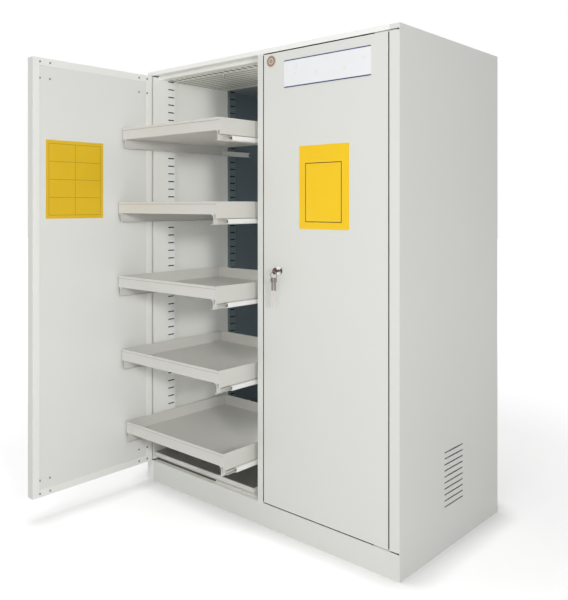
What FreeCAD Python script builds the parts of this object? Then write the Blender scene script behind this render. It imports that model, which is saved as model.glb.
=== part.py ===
import FreeCAD, Part
import math
import os
import re
import Sketcher

# Two-leaf safety cabinet with pull-out trays. Millimetres. X runs to the right, Y to the back and Z up.
# The origin is the centre of the base on the floor. The left leaf and the left trays are drawn open.

doc = FreeCAD.newDocument("cabinet")
sheet = doc.addObject("Spreadsheet::Sheet", "Sizes")

SIZES = (
    # Carcass
    ("cab_width", 1140.0),
    ("cab_depth", 670.0),
    ("cab_height", 1625.0),
    ("skin", 1.5),
    ("wall_depth", 22.0),
    ("jamb_width", 34.0),
    ("jamb_depth", 74.0),
    ("post_width", 44.0),
    ("post_shift", 22.0),
    ("grip_width", 20.0),
    ("partition_width", 20.0),
    ("plinth_height", 79.0),
    ("header_height", 15.0),
    ("stop_return", 14.0),
    ("stop_clearance", 4.0),
    ("sill_hole_length", 12.0),
    ("sill_hole_width", 5.0),
    ("sill_hole_setback", 22.0),
    ("sill_hole_near", 8.0),
    ("sill_hole_far", 40.0),
    ("ceiling_drop", 25.0),
    ("overrun", 2.0),
    # Slots in the sides, near the bottom at the back
    ("louvre_count", 10.0),
    ("louvre_pitch", 19.1),
    ("louvre_length", 128.0),
    ("louvre_height", 4.5),
    ("louvre_low", 134.0),
    ("louvre_front", 271.0),
    # Exhaust collar on the top
    ("collar_radius", 50.0),
    ("collar_height", 45.0),
    ("collar_wall", 1.5),
    ("collar_flange", 14.0),
    ("collar_setback", 400.0),
    # Slotted uprights
    ("upright_width", 41.0),
    ("upright_sheet", 1.5),
    ("upright_rear", 436.0),
    ("slot_length", 32.0),
    ("slot_height", 4.5),
    ("slot_pitch", 31.1),
    ("slot_skip", 4.0),
    ("slot_low", 21.0),
    # Perforated ceiling
    ("vent_size", 7.0),
    ("vent_pitch", 30.0),
    ("vent_count", 16.0),
    ("vent_setback", 92.0),
    ("nozzle_radius", 8.0),
    ("nozzle_height", 12.0),
    ("nozzle_side", 289.0),
    ("nozzle_setback", 141.0),
    # Leaves and their crank-arm pivots
    ("leaf_thickness", 32.0),
    ("leaf_gap", 4.0),
    ("leaf_sheet", 1.5),
    ("leaf_return", 26.0),
    ("liner_clearance", 0.5),
    ("left_leaf_open", 90.0),
    ("pivot_inset", 18.0),
    ("pivot_setback", 12.0),
    ("pin_radius", 5.0),
    ("pin_clearance", 0.08),
    ("arm_radius", 8.0),
    ("arm_thickness", 3.0),
    ("arm_clearance", 1.2),
    ("arm_reach", 70.0),
    ("pin_block", 13.0),
    # Lock, key and bunch
    ("lock_edge", 69.0),
    ("lock_level", 876.0),
    ("rosette_radius", 15.0),
    ("rosette_height", 4.0),
    ("barrel_radius", 9.5),
    ("plug_radius", 6.0),
    ("plug_clearance", 0.08),
    ("cam_length", 42.0),
    ("cam_width", 14.0),
    ("cam_thickness", 2.5),
    ("key_thickness", 2.0),
    ("key_bow_radius", 11.0),
    ("key_neck", 9.0),
    ("key_neck_width", 7.0),
    ("key_hole_radius", 2.6),
    ("key_hole_edge", 5.0),
    ("key_length", 27.0),
    ("key_blade_width", 7.0),
    ("key_spread_angle", 30.0),
    ("spare_bow_radius", 8.0),
    ("tag_width", 14.0),
    ("tag_height", 48.0),
    ("tag_thickness", 1.2),
    ("tag_hole_radius", 1.8),
    ("tag_strap", 42.0),
    ("tag_strap_width", 5.0),
    ("ring_radius", 13.0),
    ("ring_wire", 1.0),
    ("ring_width", 1.8),
    ("ring_clearance", 0.3),
    # Trays
    ("tray_clearance", 8.0),
    ("tray_depth", 540.0),
    ("tray_height", 43.0),
    ("tray_sheet", 1.5),
    ("tray_front", 55.0),
    ("tray_low", 267.5),
    ("top_room", 195.0),
    ("skirt_height", 13.4),
    ("hem_height", 8.0),
    ("hem_proud", 1.2),
    ("runner_height", 34.0),
    ("runner_lip", 12.0),
    ("runner_end", 15.0),
    ("gusset_radius", 12.0),
    ("sump_clearance", 4.0),
    ("sump_height", 35.0),
    ("sump_front", 38.0),
    ("sump_hem_height", 15.0),
    ("sump_hem_proud", 3.5),
    ("sump_draw", 31.0),
    # Telescopic slides
    ("slide_gap", 18.0),
    ("slide_sheet", 1.2),
    ("slide_height", 20.0),
    ("slide_drop", 24.0),
    ("slide_lip", 13.0),
    ("slide_front", 60.0),
    ("slide_length", 500.0),
    ("ball_size", 1.6),
    ("ball_clearance", 0.3),
    ("ball_from", 7.0),
    ("ball_to", 11.0),
    ("middle_web", 0.8),
    ("middle_front", 62.0),
    ("middle_length", 480.0),
    ("inner_lip", 12.0),
    ("inner_setback", 14.0),
    ("inner_length", 500.0),
    # How far each left tray and its middle members are drawn out, from the top down
    ("draw_one", 212.0),
    ("draw_two", 231.0),
    ("draw_three", 233.0),
    ("draw_four", 216.0),
    ("draw_five", 195.0),
    ("middle_draw_one", 165.0),
    ("middle_draw_two", 184.0),
    ("middle_draw_three", 186.0),
    ("middle_draw_four", 165.0),
    ("middle_draw_five", 144.0),
)
ALIASES = set()
for row, (alias, value) in enumerate(SIZES, start=1):
    sheet.set(f"A{row}", alias)
    sheet.set(f"B{row}", str(value))
    sheet.setAlias(f"B{row}", alias)
    ALIASES.add(alias)
doc.recompute()

LEVELS = ("one", "two", "three", "four", "five")
nodes = []


# Expressions

def ex(text):
    """Return the expression with each name of a size pointed at the sheet."""
    def point(match):
        word = match.group(0)
        return "Sizes." + word if word in ALIASES else word
    return re.sub(r"[A-Za-z_][A-Za-z_0-9]*", point, str(text))


def value_of(text):
    """Return the present value of an expression."""
    return float(sheet.evalExpression(ex(text)))


def bind(obj, **properties):
    """Bind properties of an object to expressions."""
    for name, text in properties.items():
        obj.setExpression(name, ex(text))


def put(obj, x="0", y="0", z="0"):
    """Bind the place of an object."""
    for axis, text in zip("xyz", (x, y, z)):
        obj.setExpression(f"Placement.Base.{axis}", ex(text))
    return obj


def whole(name):
    """Return a size that is a count."""
    return int(round(value_of(name)))


LEFT = "(-cab_width / 2)"
RIGHT = "(cab_width / 2)"
FRONT = "(-cab_depth / 2)"
BACK = "(cab_depth / 2)"
POST_LEFT = "(post_shift - post_width / 2)"
POST_RIGHT = "(post_shift + post_width / 2)"
CEILING = "(cab_height - ceiling_drop)"
STOP_FACE = "(leaf_thickness + stop_clearance)"
STOP_HEIGHT = "(ceiling_drop + 2 * skin - header_height)"
SLOT_COUNT = f"(floor(({CEILING} - skin - plinth_height - slot_low - slot_height) / slot_pitch) + 1)"
TRAY_STEPS = f"floor(({CEILING} - tray_low - top_room) / ({len(LEVELS) - 1} * slot_pitch))"


# Building blocks

def new_body(name):
    """Return an empty body."""
    return doc.addObject("PartDesign::Body", name)


def origin_feature(body, role):
    """Return the plane or axis of a body's origin that has this role."""
    return next(item for item in body.Origin.OriginFeatures if item.Role == role)


def sketch_loops(body, role, loops, offset="0"):
    """Add a sketch of closed outlines, each corner bound to its two expressions."""
    sketch = body.newObject("Sketcher::SketchObject", body.Name + "_outline")
    sketch.AttachmentSupport = (origin_feature(body, role), [""])
    sketch.MapMode = "FlatFace"
    sketch.setExpression("AttachmentOffset.Base.z", ex(offset))
    first = 0
    for loop in loops:
        corners = [FreeCAD.Vector(value_of(x), value_of(y), 0) for x, y in loop]
        count = len(corners)
        for index, corner in enumerate(corners):
            sketch.addGeometry(Part.LineSegment(corner, corners[(index + 1) % count]), False)
        for index in range(count):
            following = first + (index + 1) % count
            sketch.addConstraint(Sketcher.Constraint("Coincident", first + index, 2, following, 1))
        for index, (x, y) in enumerate(loop):
            for kind, text, number in (("DistanceX", x, corners[index].x), ("DistanceY", y, corners[index].y)):
                made = sketch.addConstraint(Sketcher.Constraint(kind, -1, 1, first + index, 1, number))
                sketch.setExpression(f"Constraints[{made}]", ex(text))
        first += count
    return sketch


def pad_loops(body, role, loops, length, towards_back=False, offset="0"):
    """Pad closed outlines by a length. Outlines on XZ go to the front unless towards_back is set."""
    pad = body.newObject("PartDesign::Pad", body.Name + "_pad")
    pad.Profile = sketch_loops(body, role, loops, offset)
    pad.setExpression("Length", ex(length))
    pad.Reversed = towards_back
    return pad


def cut_loops(body, role, loops, length, offset="0"):
    """Cut closed outlines out of a body over a length, in the direction in which pad_loops pads them."""
    pocket = body.newObject("PartDesign::Pocket", body.Name + "_pocket")
    pocket.Profile = sketch_loops(body, role, loops, offset)
    pocket.setExpression("Length", ex(length))
    pocket.Reversed = True
    return pocket


def add_box(body, kind, length, width, height, x="0", y="0", z="0"):
    """Add or take away a box, by kind Additive or Subtractive."""
    box = body.newObject(f"PartDesign::{kind}Box", body.Name + "_box")
    bind(box, Length=length, Width=width, Height=height)
    return put(box, x, y, z)


def add_cylinder(body, kind, radius, height, x="0", y="0", z="0", along="z"):
    """Add or take away a cylinder along an axis, by kind Additive or Subtractive."""
    cylinder = body.newObject(f"PartDesign::{kind}Cylinder", body.Name + "_cylinder")
    turns = {
        "x": FreeCAD.Rotation(FreeCAD.Vector(0, 1, 0), 90),
        "y": FreeCAD.Rotation(FreeCAD.Vector(-1, 0, 0), 90),
        "z": FreeCAD.Rotation(),
    }
    cylinder.Placement = FreeCAD.Placement(FreeCAD.Vector(), turns[along])
    bind(cylinder, Radius=radius, Height=height)
    return put(cylinder, x, y, z)


def row_of(body, feature, role, pitch, count):
    """Repeat a feature along an axis of the body's origin."""
    pattern = body.newObject("PartDesign::LinearPattern", body.Name + "_row")
    pattern.Originals = [feature]
    pattern.Direction = (origin_feature(body, role), [""])
    pattern.setExpression("Length", ex(f"{pitch} * ({count} - 1)"))
    pattern.Occurrences = whole(count)
    body.Tip = pattern
    return pattern


def mirrored(source):
    """Return the mirror image of an object across its own YZ plane."""
    mirror = doc.addObject("Part::Mirroring", source.Name + "_mirror")
    mirror.Source = source
    mirror.Normal = FreeCAD.Vector(1, 0, 0)
    return mirror


def placed(name, pieces, x="0", y="0", z="0"):
    """Return a group of pieces at a place of its own."""
    group = doc.addObject("Part::Compound", name)
    group.Links = pieces
    return put(group, x, y, z)


def node(obj, label):
    """List an object as a separate piece of the cabinet under its own name."""
    obj.Label = label
    nodes.append(obj)
    return obj


def side_loops(side, *loops):
    """Return outlines with X turned over for the right-hand side."""
    sign = "-1" if side == "right" else "1"
    return [[(f"{sign} * ({x})", y) for x, y in loop] for loop in loops]


# Carcass: double-skinned sides with hollow front jambs, slotted where the pivot arms pass

def side_panel(side):
    """Build one side, from its outer front edge inwards and backwards."""
    body = new_body(f"side_panel_{side}")
    end = "cab_depth - skin"
    outer = (("0", "0"), ("jamb_width", "0"), ("jamb_width", "jamb_depth"), ("wall_depth", "jamb_depth"),
             ("wall_depth", end), ("0", end))
    inner = (("skin", "skin"), ("jamb_width - skin", "skin"), ("jamb_width - skin", "jamb_depth - skin"),
             ("wall_depth - skin", "jamb_depth - skin"), ("wall_depth - skin", f"{end} - skin"),
             ("skin", f"{end} - skin"))
    pad_loops(body, "XY_Plane", side_loops(side, outer, inner), "cab_height - skin")
    slot_depth = "pivot_setback + 2 * arm_radius"
    slot_height = "arm_thickness + 2 * arm_clearance"
    slot_start = "skin" if side == "left" else "-jamb_width - overrun"
    for level in ("plinth_height", f"cab_height - header_height - ({slot_height})"):
        add_box(body, "Subtractive", "jamb_width - skin + overrun", f"{slot_depth} + overrun", slot_height,
                slot_start, "-overrun", level)
    louvre_start = "-overrun" if side == "left" else "-skin - overrun"
    louvre = add_box(body, "Subtractive", "skin + 2 * overrun", "louvre_length", "louvre_height",
                     louvre_start, "louvre_front", "louvre_low")
    row_of(body, louvre, "Z_Axis", "louvre_pitch", "louvre_count")
    put(body, LEFT if side == "left" else RIGHT, FRONT)
    return node(body, f"side_panel_{side}")


def carcass():
    """Build the sides, back, top, base, header, post and partition."""
    side_panel("left")
    side_panel("right")

    back = new_body("back_panel")
    pad_loops(back, "XY_Plane", [[(LEFT, "0"), (RIGHT, "0"), (RIGHT, "skin"), (LEFT, "skin")]],
              "cab_height - skin")
    node(put(back, "0", f"{BACK} - skin"), "back_panel")

    top = new_body("top_panel")
    pad_loops(top, "XY_Plane", [[(LEFT, FRONT), (RIGHT, FRONT), (RIGHT, BACK), (LEFT, BACK)]], "skin")
    add_cylinder(top, "Subtractive", "collar_radius - collar_wall", "skin + 2 * overrun",
                 "0", f"{FRONT} + collar_setback", "-overrun")
    node(put(top, "0", "0", "cab_height - skin"), "top_panel")

    collar = new_body("exhaust_collar")
    profile = sketch_loops(collar, "XZ_Plane", [[
        ("collar_radius - collar_wall", "0"), ("collar_radius + collar_flange", "0"),
        ("collar_radius + collar_flange", "collar_wall"), ("collar_radius", "collar_wall"),
        ("collar_radius", "collar_height"), ("collar_radius - collar_wall", "collar_height")]])
    turned = collar.newObject("PartDesign::Revolution", "exhaust_collar_turned")
    turned.Profile = profile
    turned.ReferenceAxis = (profile, ["V_Axis"])
    turned.Angle = 360
    node(put(collar, "0", f"{FRONT} + collar_setback", "cab_height"), "exhaust_collar")

    base = new_body("base_pan")
    end = "cab_depth - skin"
    pad_loops(base, "YZ_Plane", [[
        ("0", "0"), (end, "0"), (end, "skin"), ("skin", "skin"), ("skin", "plinth_height - skin"),
        (STOP_FACE, "plinth_height - skin"), (STOP_FACE, "plinth_height"), ("0", "plinth_height")]],
        "cab_width - 2 * jamb_width")
    for start in ("0", f"{POST_RIGHT} - {LEFT} - jamb_width"):
        end = f"{POST_LEFT} - {LEFT} - jamb_width" if start == "0" else "cab_width - 2 * jamb_width"
        for x in (f"{start} + sill_hole_near", f"{end} - sill_hole_far"):
            add_box(base, "Subtractive", "sill_hole_length", "sill_hole_width", "skin + 2 * overrun", x,
                    "sill_hole_setback", "plinth_height - skin - overrun")
    node(put(base, f"{LEFT} + jamb_width", FRONT), "base_pan")

    bottom = new_body("bottom_panel")
    reach = f"{BACK} - skin"
    pad_loops(bottom, "XY_Plane", [[
        (f"{LEFT} + jamb_width", f"{FRONT} + {STOP_FACE}"), (f"{RIGHT} - jamb_width", f"{FRONT} + {STOP_FACE}"),
        (f"{RIGHT} - jamb_width", reach), (f"{LEFT} + jamb_width", reach)]], "skin")
    node(put(bottom, "0", "0", "plinth_height - skin"), "bottom_panel")

    header = new_body("header_rail")
    under = "-header_height"
    stop = f"{under} - {STOP_HEIGHT}"
    face = STOP_FACE
    pad_loops(header, "YZ_Plane", [[
        ("0", "-skin"), ("0", under), (face, under), (face, stop), (f"{face} + stop_return", stop),
        (f"{face} + stop_return", f"{stop} + skin"), (f"{face} + skin", f"{stop} + skin"),
        (f"{face} + skin", f"{under} + skin"), ("skin", f"{under} + skin"), ("skin", "-skin")]],
        "cab_width - 2 * jamb_width")
    node(put(header, f"{LEFT} + jamb_width", FRONT, "cab_height"), "header_rail")

    post = new_body("centre_post")
    half = "post_width / 2"
    nose = f"grip_width - {half}"
    pad_loops(post, "XY_Plane", [
        [(nose, "0"), (half, "0"), (half, "jamb_depth"), (f"-{half}", "jamb_depth"), (f"-{half}", STOP_FACE),
         (nose, STOP_FACE)],
        [(f"{nose} + skin", "skin"), (f"{half} - skin", "skin"), (f"{half} - skin", "jamb_depth - skin"),
         (f"skin - {half}", "jamb_depth - skin"), (f"skin - {half}", f"{STOP_FACE} + skin"),
         (f"{nose} + skin", f"{STOP_FACE} + skin")]],
        "cab_height - header_height - plinth_height")
    add_box(post, "Subtractive", "post_width + 2 * overrun", "jamb_depth", f"{STOP_HEIGHT} + overrun",
            f"-{half} - overrun", STOP_FACE, f"cab_height - header_height - plinth_height - {STOP_HEIGHT}")
    node(put(post, "post_shift", FRONT, "plinth_height"), "centre_post")

    partition = new_body("partition_panel")
    half = "partition_width / 2"
    deep = "cab_depth - jamb_depth - skin"
    pad_loops(partition, "XY_Plane", [
        [(f"-{half}", "0"), (half, "0"), (half, deep), (f"-{half}", deep)],
        [(f"skin - {half}", "skin"), (f"{half} - skin", "skin"), (f"{half} - skin", f"{deep} - skin"),
         (f"skin - {half}", f"{deep} - skin")]],
        f"{CEILING} - plinth_height")
    node(put(partition, "post_shift", f"{FRONT} + jamb_depth", "plinth_height"), "partition_panel")


# Slotted uprights: channels with a slotted web, two on each side of a bay

def upright(name, pitch, count):
    """Build one upright with its row of slots."""
    body = new_body(name)
    deep = "(jamb_width - wall_depth)"
    pad_loops(body, "XY_Plane", [[
        ("0", "0"), (deep, "0"), (deep, "upright_width"), ("0", "upright_width"),
        ("0", "upright_width - upright_sheet"), (f"{deep} - upright_sheet", "upright_width - upright_sheet"),
        (f"{deep} - upright_sheet", "upright_sheet"), ("0", "upright_sheet")]],
        f"{CEILING} - skin - plinth_height")
    slot = add_box(body, "Subtractive", "upright_sheet + overrun", "slot_length", "slot_height",
                   f"{deep} - upright_sheet - overrun / 2", "(upright_width - slot_length) / 2", "slot_low")
    row_of(body, slot, "Z_Axis", pitch, count)
    return body


def uprights():
    """Build the uprights of both bays. Behind the shut leaf only some of the slots are pressed through."""
    deep = "(jamb_width - wall_depth)"
    rows = {
        "left": ("slot_pitch", SLOT_COUNT),
        "right": ("slot_skip * slot_pitch", f"(floor(({SLOT_COUNT} - 1) / slot_skip) + 1)"),
    }
    sides = {
        "left": (f"{LEFT} + wall_depth", f"{POST_LEFT} + {deep}"),
        "right": (f"{POST_RIGHT} - {deep}", f"{RIGHT} - wall_depth"),
    }
    for bay, (west, east) in sides.items():
        body = upright(f"upright_{bay}", *rows[bay])
        mirror = mirrored(body)
        pieces = []
        for place, setback in (("front", "jamb_depth"), ("rear", "upright_rear")):
            level = f"{FRONT} + {setback}"
            pieces.append(placed(f"upright_{bay}_{place}_west", [body], west, level, "plinth_height"))
            pieces.append(placed(f"upright_{bay}_{place}_east", [mirror], east, level, "plinth_height"))
        node(placed(f"uprights_{bay}_bay", pieces), f"uprights_{bay}_bay")


def ceiling():
    """Build the perforated ceiling plate of each bay and the nozzle below the left one."""
    half = "partition_width / 2"
    spans = {
        "left": (f"{LEFT} + wall_depth", f"post_shift - {half}", f"{LEFT} + jamb_width", POST_LEFT),
        "right": (f"post_shift + {half}", f"{RIGHT} - wall_depth", POST_RIGHT, f"{RIGHT} - jamb_width"),
    }
    start = "jamb_depth"
    end = "cab_depth - skin"
    for bay, (west, east, door_west, door_east) in spans.items():
        plate = new_body(f"ceiling_grille_{bay}")
        front = f"{STOP_FACE} + skin"
        pad_loops(plate, "XY_Plane", [[
            (west, start), (door_west, start), (door_west, front), (door_east, front), (door_east, start),
            (east, start), (east, end), (west, end)]], "skin")
        first = f"({west} + {east} - vent_pitch * (vent_count - 1) - vent_size) / 2"
        vent = add_box(plate, "Subtractive", "vent_size", "vent_size", "skin + 2 * overrun", first,
                       "vent_setback - vent_size / 2", "-overrun")
        row_of(plate, vent, "X_Axis", "vent_pitch", "vent_count")
        node(put(plate, "0", FRONT, f"{CEILING} - skin"), f"ceiling_grille_{bay}")

    nozzle = new_body("ceiling_nozzle")
    add_cylinder(nozzle, "Additive", "nozzle_radius", "nozzle_height / 3", "0", "0", "-nozzle_height / 3")
    add_cylinder(nozzle, "Additive", "nozzle_radius / 2", "nozzle_height", "0", "0", "-nozzle_height")
    node(put(nozzle, f"{LEFT} + nozzle_side", f"{FRONT} + nozzle_setback", f"{CEILING} - skin"),
         "ceiling_nozzle")


# Trays: shelled pans with a hemmed front, on runner plates whose front ends turn into a gusset

def tray_body(name, width):
    """Build a tray, from the left front corner of its pan's underside."""
    body = new_body(name)
    pan = pad_loops(body, "XY_Plane", [[
        ("0", "0"), (width, "0"), (width, "tray_depth"), ("0", "tray_depth")]], "tray_height")
    doc.recompute()
    top = max(range(len(pan.Shape.Faces)), key=lambda index: pan.Shape.Faces[index].CenterOfMass.z)
    shell = body.newObject("PartDesign::Thickness", name + "_shell")
    shell.Base = (pan, [f"Face{top + 1}"])
    shell.setExpression("Value", ex("tray_sheet"))
    shell.Reversed = True
    add_box(body, "Additive", width, "hem_proud", "hem_height", "0", "-hem_proud", "tray_height - hem_height")
    for x in ("0", f"{width} - tray_sheet"):
        add_box(body, "Additive", "tray_sheet", "tray_depth - runner_end", "skirt_height", x, "0",
                "-skirt_height")
    inset = "(slide_gap - tray_clearance)"
    runner = (
        (inset, "0"), (inset, "-runner_height"), (f"{inset} + runner_lip", "-runner_height"),
        (f"{inset} + runner_lip", "tray_sheet - runner_height"),
        (f"{inset} + tray_sheet", "tray_sheet - runner_height"), (f"{inset} + tray_sheet", "0"))
    for plate in (runner, [(f"{width} - ({x})", z) for x, z in runner]):
        pad_loops(body, "XZ_Plane", [plate], "tray_depth - runner_end", towards_back=True)
    for side, start in (("west", f"{inset} + tray_sheet"), ("east", f"{width} - {inset} - tray_sheet")):
        gusset(body, side, start)
    return body


def gusset(body, side, start):
    """Add the corner web between a runner plate and the pan, with a hollow quarter round."""
    sign = 1 if side == "west" else -1
    sketch = body.newObject("Sketcher::SketchObject", body.Name + "_gusset")
    sketch.AttachmentSupport = (origin_feature(body, "XZ_Plane"), [""])
    sketch.MapMode = "FlatFace"
    x = value_of(start)
    r = value_of("gusset_radius")
    corner = FreeCAD.Vector(x, 0, 0)
    far = FreeCAD.Vector(x + sign * r, 0, 0)
    low = FreeCAD.Vector(x, -r, 0)
    centre = FreeCAD.Vector(x + sign * r, -r, 0)
    angles = (math.pi / 2, math.pi) if sign > 0 else (0, math.pi / 2)
    arc = Part.ArcOfCircle(Part.Circle(centre, FreeCAD.Vector(0, 0, 1), r), *angles)
    sketch.addGeometry(Part.LineSegment(low, corner), False)
    sketch.addGeometry(Part.LineSegment(corner, far), False)
    sketch.addGeometry(arc, False)
    far_end, low_end = (1, 2) if sign > 0 else (2, 1)
    sketch.addConstraint(Sketcher.Constraint("Coincident", 0, 2, 1, 1))
    sketch.addConstraint(Sketcher.Constraint("Vertical", 0))
    sketch.addConstraint(Sketcher.Constraint("Horizontal", 1))
    sketch.addConstraint(Sketcher.Constraint("Tangent", 1, 2, 2, far_end))
    sketch.addConstraint(Sketcher.Constraint("Tangent", 0, 1, 2, low_end))
    for kind, text, number in (("DistanceX", start, x), ("DistanceY", "0", 0)):
        made = sketch.addConstraint(Sketcher.Constraint(kind, -1, 1, 0, 2, number))
        sketch.setExpression(f"Constraints[{made}]", ex(text))
    made = sketch.addConstraint(Sketcher.Constraint("Radius", 2, r))
    sketch.setExpression(f"Constraints[{made}]", ex("gusset_radius"))
    pad = body.newObject("PartDesign::Pad", body.Name + "_gusset_pad")
    pad.Profile = sketch
    pad.setExpression("Length", ex("tray_sheet"))
    pad.Reversed = True


# Telescopic slides: three nested channels, from the upright's face inwards, with rows of balls between

def slide_members():
    """Build the outer, middle and inner members and their mirror images."""
    half = "slide_height / 2"
    inside = f"({half} - slide_sheet)"
    outer = new_body("slide_outer")
    pad_loops(outer, "XZ_Plane", [[
        ("0", f"-{half}"), ("slide_lip", f"-{half}"), ("slide_lip", f"-{inside}"),
        ("slide_sheet", f"-{inside}"), ("slide_sheet", inside), ("slide_lip", inside), ("slide_lip", half),
        ("0", half)]],
        "slide_length", towards_back=True)

    web = "(slide_sheet + middle_web)"
    tip = "(slide_lip + middle_web)"
    high = f"({inside} - ball_size)"
    low = f"({high} - slide_sheet)"
    proud = f"({inside} - ball_clearance)"
    upper = ((f"{web} + slide_sheet", low), (tip, low), (tip, high), ("ball_to", high), ("ball_to", proud),
             ("ball_from", proud), ("ball_from", high), (web, high))
    lower = [(x, f"-1 * {z}") for x, z in reversed(upper)]
    middle = new_body("slide_middle")
    pad_loops(middle, "XZ_Plane", [list(upper) + lower], "middle_length", towards_back=True)

    reach = f"({low} - ball_clearance)"
    inner = new_body("slide_inner")
    start = "(slide_gap - inner_lip)"
    pad_loops(inner, "XZ_Plane", [[
        ("slide_gap", f"-{reach}"), ("slide_gap", reach), (start, reach), (start, f"{reach} - slide_sheet"),
        ("slide_gap - slide_sheet", f"{reach} - slide_sheet"),
        ("slide_gap - slide_sheet", f"slide_sheet - {reach}"), (start, f"slide_sheet - {reach}"),
        (start, f"-{reach}")]],
        "inner_length", towards_back=True)
    return {kind: (body, mirrored(body)) for kind, body in
            (("outer", outer), ("middle", middle), ("inner", inner))}


def bay_trays(bay, west, east, members):
    """Fill one bay with its five trays, their slides and the sump tray."""
    width = f"({east} - {west} - 2 * tray_clearance)"
    body = tray_body(f"tray_{bay}_form", width)
    outer_pieces = []
    for number, word in enumerate(LEVELS, start=1):
        draw = f"draw_{word}" if bay == "left" else "0"
        middle_draw = f"middle_draw_{word}" if bay == "left" else "0"
        floor = f"(tray_low - tray_height + {len(LEVELS) - number} * {TRAY_STEPS} * slot_pitch)"
        front = f"({FRONT} + tray_front - {draw})"
        tray = placed(f"tray_{bay}_{number}", [body], f"{west} + tray_clearance", front, floor)
        node(tray, f"tray_{bay}_{number}")
        level = f"{floor} - slide_drop"
        starts = {
            "outer": f"{FRONT} + slide_front",
            "middle": f"{FRONT} + middle_front - {middle_draw}",
            "inner": f"{front} + inner_setback",
        }
        made = {}
        for kind, (member, mirror) in members.items():
            name = f"{kind}_{bay}_{number}"
            made[kind] = [placed(name + "_west", [member], west, starts[kind], level),
                          placed(name + "_east", [mirror], east, starts[kind], level)]
        outer_pieces += made["outer"]
        if bay == "left":
            node(placed(f"middle_slides_left_{number}", made["middle"]), f"middle_slides_left_{number}")
            node(placed(f"inner_slides_left_{number}", made["inner"]), f"inner_slides_left_{number}")
        else:
            node(placed(f"slides_right_{number}", made["middle"] + made["inner"]), f"slides_right_{number}")
    node(placed(f"outer_slides_{bay}", outer_pieces), f"outer_slides_{bay}")

    sump = new_body(f"sump_tray_{bay}")
    span = f"({east} - {west} - 2 * sump_clearance)"
    deep = "(cab_depth - skin - sump_clearance - sump_front)"
    pan = pad_loops(sump, "XY_Plane", [[("0", "0"), (span, "0"), (span, deep), ("0", deep)]], "sump_height")
    doc.recompute()
    top = max(range(len(pan.Shape.Faces)), key=lambda index: pan.Shape.Faces[index].CenterOfMass.z)
    shell = sump.newObject("PartDesign::Thickness", sump.Name + "_shell")
    shell.Base = (pan, [f"Face{top + 1}"])
    shell.setExpression("Value", ex("tray_sheet"))
    shell.Reversed = True
    add_box(sump, "Additive", span, "sump_hem_proud", "sump_hem_height", "0", "-sump_hem_proud",
            "sump_height - sump_hem_height")
    sump_draw = "sump_draw" if bay == "left" else "0"
    node(put(sump, f"{west} + sump_clearance", f"{FRONT} + sump_front - {sump_draw}", "plinth_height"),
         f"sump_tray_{bay}")


# Leaves: folded shells with a liner behind the returns, turning on crank arms at their corners

LEAF_LOW = "(plinth_height + arm_clearance + arm_thickness)"
LEAF_HIGH = "(cab_height - header_height - arm_clearance - arm_thickness)"
LEAF_TALL = f"({LEAF_HIGH} - {LEAF_LOW})"


def place_leaf_piece(obj, side, z="0"):
    """Put a piece of a leaf on its pivot, the left one turned open."""
    inset = "jamb_width - pivot_inset"
    if side == "left":
        obj.Placement = FreeCAD.Placement(FreeCAD.Vector(), FreeCAD.Rotation(FreeCAD.Vector(0, 0, -1), 90))
        obj.setExpression("Placement.Rotation.Angle", ex("left_leaf_open"))
        return put(obj, f"{LEFT} + {inset}", f"{FRONT} + pivot_setback", z)
    return put(obj, f"{RIGHT} - ({inset})", f"{FRONT} + pivot_setback", z)


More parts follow.
